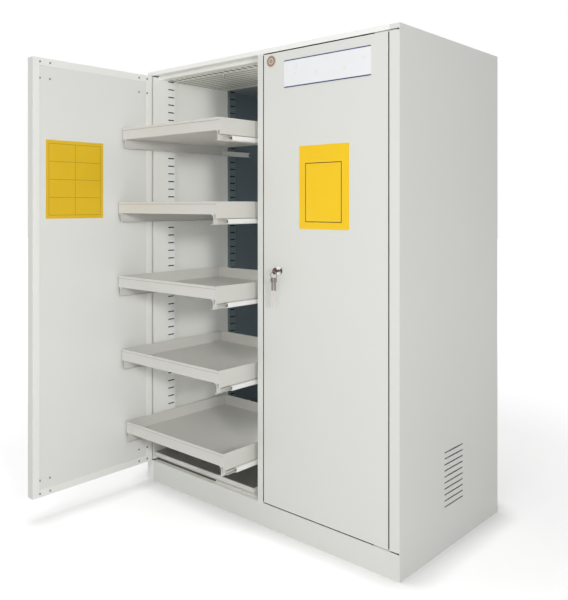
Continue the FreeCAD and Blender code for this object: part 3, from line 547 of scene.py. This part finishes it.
# painted shade: black strips that darken the gaps round the shut leaf
gap_shade_rubber = Finish("gap_shade_rubber", Roughness=0.8, Specular_IOR_Level=0.25)
gap_shade_rubber.mottle(80.0, screen(28, 28, 26), screen(42, 41, 39))
gap_shade_rubber.bump(gap_shade_rubber.noise(500.0), 0.2, 0.0002)
leaf_edge = box_of("right_leaf_shell")[1].x
for place, width, depth, rise, body in (
        ("post", (post_high.x, post_high.x + GAP_SHADE_THICK), UPRIGHT_GAP_SHADE_DEPTH, GAP_SHADE_RISE, "cabinet"),
        ("header", GAP_SHADE_WIDTH, LEVEL_GAP_SHADE_DEPTH, (post_high.z - GAP_SHADE_THICK, post_high.z), "cabinet"),
        ("plinth", GAP_SHADE_WIDTH, LEVEL_GAP_SHADE_DEPTH, (post_low.z, post_low.z + GAP_SHADE_THICK), "cabinet"),
        ("leaf", (leaf_edge, leaf_edge + GAP_SHADE_THICK), UPRIGHT_GAP_SHADE_DEPTH, GAP_SHADE_RISE, "right_leaf")):
    gap_strip = sheet_piece(f"gap_shade_strip_{place}", width, depth, rise, edge=HAIR_EDGE)
    finish_piece(gap_strip, gap_shade_rubber, body)


# Nozzle, pins and arms. The nozzle in the ceiling and the leaves' pins are turned, and the pivot arms are
# stamped from sheet and turn on the pins. All are zinc-plated steel with a soft sheen.
zinc = Finish("zinc_plate", Metallic=1.0)
zinc.mottle(45.0, screen(196, 198, 200), screen(224, 225, 224))
zinc.feed("Roughness", 0.26 + 0.16 * zinc.noise(70.0))
zinc.bump(zinc.noise(600.0, stretch=(1.0, 1.0, 0.2)), 0.06, 0.0002)
dress(zinc, "hinge_pins", "left_hinge_arms", "right_hinge_arms", "ceiling_nozzle", "lock_plug")


# Trays. Shallow pans of folded sheet with a hemmed front, on runner plates; warm white powder paint. A
# thin grey line is painted at the foot of each hem across the drawn-out fronts: painted shadow under the
# hem.
HEM_DEPTH = 0.009
HEM_LINE_HALF = 0.0011
HEM_LINE_SHARE = 0.55
HEM_LINE_FRONT = -0.47
HEM_LINE_INSET = 0.0003
TRAY_STEPS = 4
tray_low, tray_high = box_of("tray_left_1")
tray_pitch = (tray_low.z - box_of("tray_left_5")[0].z) / TRAY_STEPS
tray_middle = (tray_low.x + tray_high.x) / 2.0
tray_paint = powder_coat("tray_paint", screen(219, 218, 213), cloud=0.025)
across, back, up = tray_paint.axes()
from_hem = ((up - (tray_high.z - HEM_DEPTH) + tray_pitch / 2.0) % tray_pitch) - tray_pitch / 2.0
on_front = (back < HEM_LINE_FRONT) * (abs(across - tray_middle) < tray_high.x - tray_middle - HEM_LINE_INSET)
# painted shadow: a thin grey line under each hem
painted_hem_shadow = (abs(from_hem) < HEM_LINE_HALF) * on_front * HEM_LINE_SHARE
tray_paint.feed("Base Color", tray_paint.mix(painted_hem_shadow, tray_paint.tone, screen(150, 148, 142)))
dress(tray_paint, *(name for name in nodes if name.startswith("tray_")))
dress(tray_paint, "sump_tray_left", "sump_tray_right")


# Sump tray front. The hem stands proud like a lip: below it the sheet is folded back, so that a dark gap
# shows over the plinth. Folded from one sheet with the pan; a grey rubber strip in the gap is painted shade
# that darkens it further.
HEM_FOOT = 0.0205
FOLD_DEPTH = (0.0015, 0.0115)
RECESS = 0.014
MERGE = 0.00001
LIP_WIDTH = (0.001, 0.327)
LIP_DEPTH = (0.0166, 0.0176)
LIP_RISE = (0.0007, 0.0195)
sump_low = box_of("sump_tray_left")[0]
fold = [sump_low.y + reach for reach in FOLD_DEPTH]
sump = copy_of(nodes["sump_tray_left"], "sump_front_left")
edit(sump, "VERT")
bpy.ops.mesh.remove_doubles(threshold=MERGE)
hem_foot = sump_low.z + HEM_FOOT
choose(sump, "verts", lambda middle, along: fold[0] < middle.y < fold[1] and middle.z < hem_foot)
bpy.ops.transform.translate(value=(0.0, RECESS, 0.0))
close(sump)
finish_piece(sump, tray_paint, "sump_left")
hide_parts("sump_tray_left")
lip_ranges = [[corner + reach for reach in reaches]
              for corner, reaches in zip(sump_low, (LIP_WIDTH, LIP_DEPTH, LIP_RISE))]
# painted shade: a grey strip in the gap under the lip
lip_shade_rubber = Finish("lip_shade_rubber", Roughness=0.85, Specular_IOR_Level=0.2)
lip_shade_rubber.mottle(60.0, screen(74, 72, 67), screen(98, 95, 89))
lip_shade_rubber.bump(lip_shade_rubber.noise(420.0), 0.2, 0.0002)
finish_piece(sheet_piece("lip_shade_strip", *lip_ranges), lip_shade_rubber, "sump_left")


# Slides. Cold-rolled steel members with a bright white electro-coat, smoother than the powder paint. The
# inner members are painted with the trays that they carry.
slide_coat = powder_coat("slide_coat", screen(246, 246, 244), gloss=0.30, peel=0.03, cloud=0.02)
dress(slide_coat, *(name for name in nodes if "slides" in name and "inner" not in name))
dress(tray_paint, *(name for name in nodes if "inner_slides" in name))


# Leaf skins. Folded steel shells with a return all round; the same warm white paint as the carcass, hung
# on the pivot arms.
dress(shell_white, "left_leaf_shell", "right_leaf_shell")


# Leaf screws. Small low-headed screws hold the inner skin of the open leaf to the pivot arms' plates, four
# at each corner. Zinc plated, with a recess for the driver.
SCREW_RADIUS = 0.0036
SCREW_RISE = 0.0013
CROWN_SLOPE, CROWN_RISE = SCREW_RADIUS * 0.35, SCREW_RISE * 0.3
DRIVE_SLOPE, DRIVE_DEPTH = SCREW_RADIUS * 0.30, SCREW_RISE * 0.6
FACING = 0.9
SCREW_COLUMNS = (-0.845, -0.805, -0.409, -0.369)
SCREW_LEVELS = (0.096, 0.141, 1.536, 1.592)
RETURN_WIDTH = 0.026
liner_face = box_of("left_leaf_liner")[1].x
screw_zinc = Finish("screw_zinc", Metallic=0.7)
screw_zinc.mottle(300.0, screen(128, 128, 124), screen(158, 158, 152))
screw_zinc.feed("Roughness", 0.38 + 0.15 * screw_zinc.noise(200.0))
screw = start("cylinder", "leaf_screw", vertices=12, radius=SCREW_RADIUS, depth=SCREW_RISE,
              rotation=(0.0, math.radians(90.0), 0.0), location=(SCREW_RISE / 2.0, 0.0, 0.0))
close(screw)
edit(screw)
choose(screw, "faces", lambda middle, along: along.x > FACING)
bpy.ops.mesh.inset(thickness=CROWN_SLOPE)
bpy.ops.transform.translate(value=(CROWN_RISE, 0.0, 0.0))
bpy.ops.mesh.inset(thickness=DRIVE_SLOPE)
bpy.ops.transform.translate(value=(-DRIVE_DEPTH, 0.0, 0.0))
close(screw, smooth=50.0)
screw_places = []
for y in SCREW_COLUMNS:
    for z in SCREW_LEVELS:
        from_edge = min(y - leaf_low.y, leaf_high.y - y, z - leaf_low.z, leaf_high.z - z)
        screw_places.append((leaf_high.x if from_edge < RETURN_WIDTH else liner_face, y, z))
finish_piece(repeated(screw, "leaf_screws", screw_places), screw_zinc, "left_leaf")


# Yellow sheet on the inside of the open leaf. Thin printed plastic, stuck on. It carries no words: a plain
# table of two columns and four rows is ruled on it in thin dark lines.
CORNER_STEPS = 5


def rounded_plate(name, corner, *ranges, edge=FINE_EDGE):
    """Return a thin plate with round corners and broken edges that fills three ranges."""
    sizes = [high - low for low, high in ranges]
    thin = sizes.index(min(sizes))
    piece = block(name, *ranges)
    edit(piece, "EDGE")
    choose(piece, "edges", lambda middle, along: abs(along[thin]) > FACING)
    bpy.ops.mesh.bevel(offset=corner, segments=CORNER_STEPS, affect="EDGES")
    close(piece)
    apply_bevel(piece, edge, segments=1)
    return close(piece)


def inside(first, second, low, high):
    """Return 1 in a rectangle of two coordinates."""
    return between(first, low[0], high[0]) * between(second, low[1], high[1])


def frame_line(first, second, low, high, width):
    """Return 1 on a line that runs round the inside of a rectangle."""
    core = inside(first, second, (low[0] + width, low[1] + width), (high[0] - width, high[1] - width))
    return inside(first, second, low, high) - core


SHEET_LOW = (-0.8215, 1.047)
SHEET_HIGH = (-0.5785, 1.324)
SHEET_THICK = 0.0006
SHEET_CORNER = 0.003
SHEET_MARGIN = 0.012
RULE_HALF = 0.0006
RULE_SHARE = 0.75
ROWS = 4
sheet_print = Finish("table_sheet", Specular_IOR_Level=0.5)
back, up = sheet_print.axes()[1:]
low = (SHEET_LOW[0] + SHEET_MARGIN, SHEET_LOW[1] + SHEET_MARGIN)
high = (SHEET_HIGH[0] - SHEET_MARGIN, SHEET_HIGH[1] - SHEET_MARGIN)
rules = frame_line(back, up, low, high, 2.0 * RULE_HALF)
for row in range(1, ROWS):
    level = low[1] + row * (high[1] - low[1]) / ROWS
    rules = rules.either(inside(back, up, (low[0], level - RULE_HALF), (high[0], level + RULE_HALF)))
column = (low[0] + high[0]) / 2.0
rules = rules.either(inside(back, up, (column - RULE_HALF, low[1]), (column + RULE_HALF, high[1])))
yellow = sheet_print.mix(sheet_print.noise(7.0), screen(234, 190, 22), screen(242, 200, 34))
sheet_print.feed("Base Color", sheet_print.mix(rules * RULE_SHARE, yellow, screen(92, 72, 30)))
sheet_print.feed("Roughness", 0.34 + 0.12 * sheet_print.noise(18.0))
sheet_print.bump(sheet_print.noise(26.0), 0.12, 0.0006)
table_sheet = rounded_plate("table_sheet", SHEET_CORNER, (liner_face, liner_face + SHEET_THICK),
                            *zip(SHEET_LOW, SHEET_HIGH))
finish_piece(table_sheet, sheet_print, "left_leaf")


# Plates on the shut leaf. The upper one is white plastic with a thin blue line above and below, the lower
# one yellow with a black line; both are left bare. Stuck on flat.
WHITE_WIDTH, WHITE_RISE = (0.137, 0.474), (1.4835, 1.5745)
WHITE_THICK = 0.0012
WHITE_CORNER = 0.004
WHITE_EDGE = 0.0004
BLUE_LINE = 0.0036
YELLOW_WIDTH, YELLOW_RISE = (0.201, 0.3955), (1.018, 1.287)
YELLOW_THICK = 0.0008
YELLOW_CORNER = 0.003
INNER_LOW, INNER_HIGH = (0.226, 1.040), (0.368, 1.231)
BLACK_LINE = 0.0026
front_face = box_of("right_leaf_shell")[0].y
white_print = Finish("name_plate", Specular_IOR_Level=0.5)
up = white_print.axes()[2]
blue_line = (up > WHITE_RISE[1] - BLUE_LINE).either(up < WHITE_RISE[0] + BLUE_LINE)
plate_white = white_print.mix(white_print.noise(5.0), screen(240, 242, 244), screen(247, 248, 249))
white_print.feed("Base Color", white_print.mix(blue_line, plate_white, screen(34, 58, 112)))
white_print.feed("Roughness", 0.24 + 0.10 * white_print.noise(30.0))
white_print.bump(white_print.noise(40.0), 0.05, 0.0004)
name_plate = rounded_plate("name_plate", WHITE_CORNER, WHITE_WIDTH,
                           (front_face - WHITE_THICK, front_face), WHITE_RISE, edge=WHITE_EDGE)
finish_piece(name_plate, white_print, "right_leaf")

yellow_print = Finish("sign_plate", Specular_IOR_Level=0.5)
across, _, up = yellow_print.axes()
black_line = frame_line(across, up, INNER_LOW, INNER_HIGH, BLACK_LINE)
plate_yellow = yellow_print.mix(yellow_print.noise(6.0), screen(250, 203, 8), screen(255, 211, 22))
yellow_print.feed("Base Color", yellow_print.mix(black_line, plate_yellow, screen(32, 28, 18)))
yellow_print.feed("Roughness", 0.30 + 0.10 * yellow_print.noise(22.0))
yellow_print.bump(yellow_print.noise(40.0), 0.05, 0.0004)
sign_plate = rounded_plate("sign_plate", YELLOW_CORNER, YELLOW_WIDTH,
                           (front_face - YELLOW_THICK, front_face), YELLOW_RISE)
finish_piece(sign_plate, yellow_print, "right_leaf")


# Round badge near the leaf's upper corner. A pressed metal disc with a brown-red enamel ring and a light
# middle with a plain turned line; nothing is written on it.
BADGE_X, BADGE_Z = 0.081, 1.580
BADGE_RADIUS = 0.0195
BADGE_RISE = 0.0018
BADGE_RIM = 0.0015
BADGE_BAND = 0.0055
RING_SPAN = (0.0115, 0.0172)
TURNED_SPAN = (0.0030, 0.0062)
DISH_SLOPE, DISH_DEPTH = 0.0005, 0.0005
STEP_SLOPE, STEP_RISE = 0.0004, 0.0004
badge_enamel = Finish("badge_enamel", Specular_IOR_Level=0.6)
across, _, up = badge_enamel.axes()
off_x = across - BADGE_X
off_z = up - BADGE_Z
from_middle = (off_x * off_x + off_z * off_z).root()
enamel = badge_enamel.mix(between(from_middle, *RING_SPAN), screen(204, 190, 174), screen(152, 118, 102))
turned = badge_enamel.mix(between(from_middle, *TURNED_SPAN), enamel, screen(120, 116, 94))
badge_enamel.feed("Base Color", turned)
badge_enamel.feed("Roughness", 0.25 + 0.15 * badge_enamel.noise(250.0))
badge = start("cylinder", "round_badge", vertices=40, radius=BADGE_RADIUS, depth=BADGE_RISE,
              rotation=(math.radians(90.0), 0.0, 0.0),
              location=(BADGE_X, front_face - BADGE_RISE / 2.0, BADGE_Z))
close(badge)
edit(badge)
choose(badge, "faces", lambda middle, along: along.y < -FACING)
bpy.ops.mesh.inset(thickness=BADGE_RIM)
bpy.ops.mesh.inset(thickness=DISH_SLOPE)
bpy.ops.transform.translate(value=(0.0, DISH_DEPTH, 0.0))
bpy.ops.mesh.inset(thickness=BADGE_BAND)
bpy.ops.mesh.inset(thickness=STEP_SLOPE)
bpy.ops.transform.translate(value=(0.0, -STEP_RISE, 0.0))
close(badge)
apply_bevel(badge, FINE_EDGE, segments=1, angle=60.0)
close(badge, smooth=35.0)
finish_piece(badge, badge_enamel, "right_leaf")


# Lock. A chromed barrel with a rosette, a steel plug with its cam, a key with a brown-red moulded bow, and
# a bunch on a wire ring: two spare keys of nickel-plated steel and a pale tag on a strap.
chrome = Finish("lock_chrome", Metallic=1.0)
chrome.mottle(90.0, screen(205, 206, 206), screen(226, 226, 224))
chrome.feed("Roughness", 0.14 + 0.10 * chrome.noise(120.0))
dress(chrome, "lock_barrel")
bow = Finish("key_bow", Specular_IOR_Level=0.55, Coat_Weight=0.3)
bow.mottle(150.0, screen(70, 38, 41), screen(98, 62, 63))
bow.feed("Roughness", 0.28 + 0.16 * bow.noise(260.0))
bow.bump(bow.noise(700.0), 0.12, 0.0002)
dress(bow, "lock_key")
RING_X = 0.117
TAG_TOP = 0.8069
STRAP_TOP = 0.853
STRAP_HALF = 0.0012
bunch = Finish("key_bunch", Specular_IOR_Level=0.5)
across, _, up = bunch.axes()
on_tag = (up < TAG_TOP).either((abs(across - RING_X) < STRAP_HALF) * (up < STRAP_TOP))
nickel = bunch.mix(bunch.noise(120.0), screen(150, 140, 138), screen(176, 168, 165))
bunch.feed("Base Color", bunch.mix(on_tag, nickel, screen(222, 218, 214)))
bunch.feed("Metallic", 0.85 * (1.0 - on_tag))
bunch.feed("Roughness", 0.30 + 0.15 * bunch.noise(150.0) + 0.15 * on_tag)
dress(bunch, "key_bunch")


# Rivets. Blind rivets with low domed heads hold the back sheet to the sides in two upright rows, with one
# row across at the top. Painted over with the carcass.
RIVET_RADIUS = 0.0032
RIVET_RISE = 0.0011
DOME_SLOPE, DOME_RISE = RIVET_RADIUS * 0.45, RIVET_RISE * 0.5
RIVET_COLUMN = 0.556
RIVET_ROWS, RIVET_FIRST, RIVET_PITCH = 9, 0.10, 0.178
TOP_RIVETS, TOP_RIVET_PITCH, TOP_RIVET_LEVEL = 7, 0.14, 1.600
back_face = box_of("back_panel")[1].y
rivet = start("cylinder", "rivet", vertices=10, radius=RIVET_RADIUS, depth=RIVET_RISE,
              rotation=(math.radians(90.0), 0.0, 0.0), location=(0.0, back_face + RIVET_RISE / 2.0, 0.0))
close(rivet)
edit(rivet)
choose(rivet, "faces", lambda middle, along: along.y > FACING)
bpy.ops.mesh.inset(thickness=DOME_SLOPE)
bpy.ops.transform.translate(value=(0.0, DOME_RISE, 0.0))
close(rivet, smooth=60.0)
rivet_places = [(column, 0.0, RIVET_FIRST + row * RIVET_PITCH)
                for column in (-RIVET_COLUMN, RIVET_COLUMN) for row in range(RIVET_ROWS)]
rivet_places += [((column - (TOP_RIVETS - 1) / 2.0) * TOP_RIVET_PITCH, 0.0, TOP_RIVET_LEVEL)
                 for column in range(TOP_RIVETS)]
finish_piece(repeated(rivet, "back_rivets", rivet_places), shell_white, "cabinet")


# Exhaust collar. Moulded plastic spigot on the top for an air duct, matt, with a fine grain. Its flange is
# fixed to the top from inside.
collar_plastic = powder_coat("collar_plastic", screen(206, 208, 206), gloss=0.58, peel=0.25, cloud=0.05)
dress(collar_plastic, "exhaust_collar")


# Studio. A pale floor that keeps the cabinet's soft shadow, a white surround, and four soft lamps: the key
# from the right, a broad one from the front, one overhead, and a weak one in the doorway of the open bay.
FLOOR_SIZE = 40.0
FLOOR_TONE = 0.80
FLOOR_LIFT = 0.48
FLOOR_LIFT_FAR = 0.50
FAR_FROM, FAR_REACH = 1.3, 2.5
CONTACT_REACH = 0.10
AMBIENT = 0.30
WHITE = (1.0, 1.0, 1.0, 1.0)


def seen_rays(owner):
    """Return 1 on rays from the camera and on those that metal and glass send on."""
    rays = owner.node("ShaderNodeLightPath")
    shown = owner.out(rays, "Is Camera Ray").either(owner.out(rays, "Is Glossy Ray"))
    return shown.either(owner.out(rays, "Is Transmission Ray"))


ground = Finish("floor_white", Base_Color=(FLOOR_TONE, FLOOR_TONE, FLOOR_TONE, 1.0), Roughness=0.9,
                Specular_IOR_Level=0.1)
across, back = ground.axes()[:2]
away = ((across * across + back * back).root() - FAR_FROM) / FAR_REACH
lift_share = FLOOR_LIFT + FLOOR_LIFT_FAR * away.either(0.0).at_most(1.0)
corners = ground.node("ShaderNodeAmbientOcclusion", {"samples": 12}, Distance=CONTACT_REACH)
openness = ground.out(corners, "AO")
lift = ground.node("ShaderNodeEmission", Color=WHITE,
                   Strength=seen_rays(ground) * openness * openness * lift_share)
lifted = ground.node("ShaderNodeAddShader", i0=ground.out(ground.shader), i1=ground.out(lift))
output = next(n for n in ground.tree.nodes if n.type == "OUTPUT_MATERIAL")
ground.tree.links.new(lifted.outputs[0], output.inputs["Surface"])
floor_piece = start("plane", "floor", size=FLOOR_SIZE, location=(0.0, 0.0, 0.0))
floor_piece.data.materials.append(ground.material)

world = bpy.data.worlds.new("studio")
bpy.context.scene.world = world
world.use_nodes = True
surround = Nodes(world.node_tree)
ambient = surround.tree.nodes["Background"]
ambient.inputs["Color"].default_value = WHITE
ambient.inputs["Strength"].default_value = AMBIENT
white = surround.node("ShaderNodeBackground", Color=WHITE, Strength=1.0)
choice = surround.node("ShaderNodeMixShader", i0=seen_rays(surround), i1=surround.out(ambient),
                       i2=surround.out(white))
surround.tree.links.new(choice.outputs[0], surround.tree.nodes["World Output"].inputs[0])


def softbox(name, place, aim, power, width, height):
    """Hang a flat lamp that faces a point and is hidden from the camera."""
    data = bpy.data.lights.new(name, "AREA")
    data.shape = "RECTANGLE"
    data.size = width
    data.size_y = height
    data.energy = power
    lamp = bpy.data.objects.new(name, data)
    lamp.location = place
    lamp.rotation_euler = (Vector(aim) - Vector(place)).to_track_quat("-Z", "Y").to_euler()
    lamp.visible_camera = False
    lamp.visible_glossy = False
    bpy.context.collection.objects.link(lamp)


softbox("key_lamp", (3.30, -2.25, 1.56), (-0.1, -0.1, 1.0), 45.0, 0.40, 0.40)
softbox("front_lamp", (0.95, -4.10, 2.10), (0.0, -0.3, 0.9), 46.0, 1.8, 1.8)
softbox("top_lamp", (-0.8, -0.6, 4.6), (0.0, 0.0, 0.0), 48.0, 2.0, 2.0)
softbox("bay_lamp", (-0.004, -0.09, 0.88), (-0.54, -0.02, 0.88), 2.1, 0.26, 1.40)

bpy.context.scene.view_settings.view_transform = "Standard"
